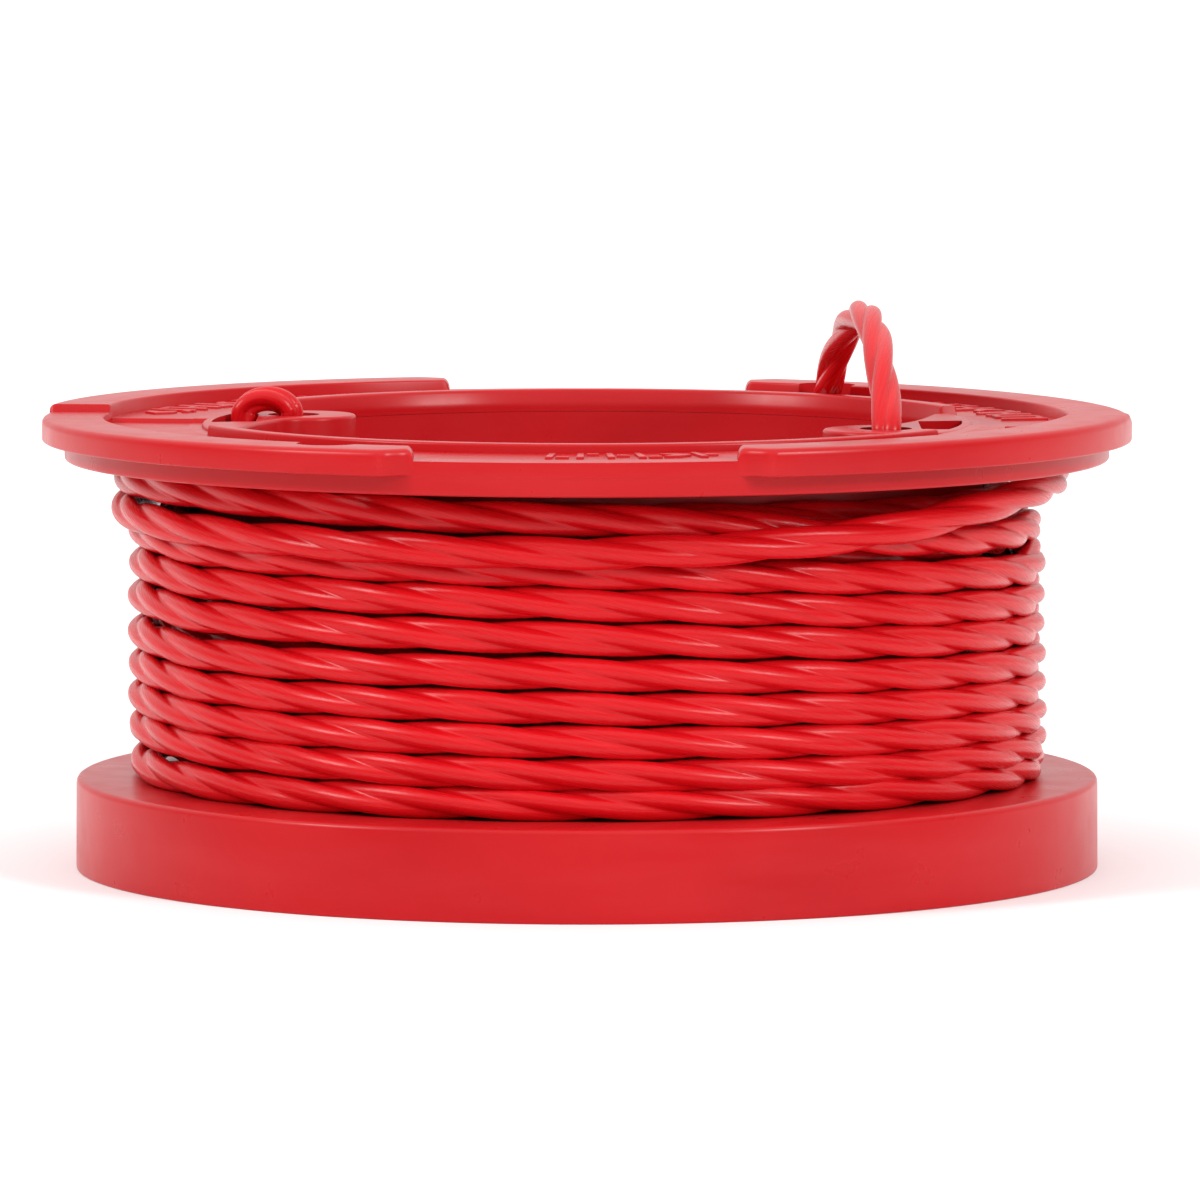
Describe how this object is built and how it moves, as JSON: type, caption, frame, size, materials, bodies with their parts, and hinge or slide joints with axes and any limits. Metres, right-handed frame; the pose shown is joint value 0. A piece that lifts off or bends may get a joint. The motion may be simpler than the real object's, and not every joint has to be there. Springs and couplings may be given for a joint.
{
  "type": "wound line spool",
  "caption": "Round red moulded spool with two flanges and an open bore, wound with glossy twisted line whose ends are parked in the ramped top flange.",
  "frame": {"origin": "on the spool's axis, in the plane of the lower flange's bottom rim", "axes": "+Z along the spool's axis, from the lower flange to the ramped upper flange; the two anchor tabs point along X, and the front seen in the reference view faces -Y"},
  "size_m": [0.0668, 0.0644, 0.0342],
  "materials": {
    "moulded_red": "satin moulded plastic, all red",
    "line_red": "glossy extruded and twisted nylon line"
  },
  "bodies": {
    "spool": {"lower_flange": "moulded_red", "drum": "moulded_red", "upper_flange": "moulded_red", "line_inner_layer": "line_red", "line_outer_layer": "line_red", "line_top_turns": "line_red", "line_riser": "line_red", "line_tail": "line_red", "line_anchor_loop": "line_red"},
    "end_loop": {"line_end_loop": "line_red"}
  },
  "joints": [
    {"name": "end_loop_sway", "type": "hinge", "parent": "spool", "child": "end_loop", "pos_m": [0.0152, 0.0254, 0.0271], "axis": [0.0955, -0.9954, 0], "range_deg": [-20, 20], "stiffness_Nm_per_rad": 0.003}
  ]
}
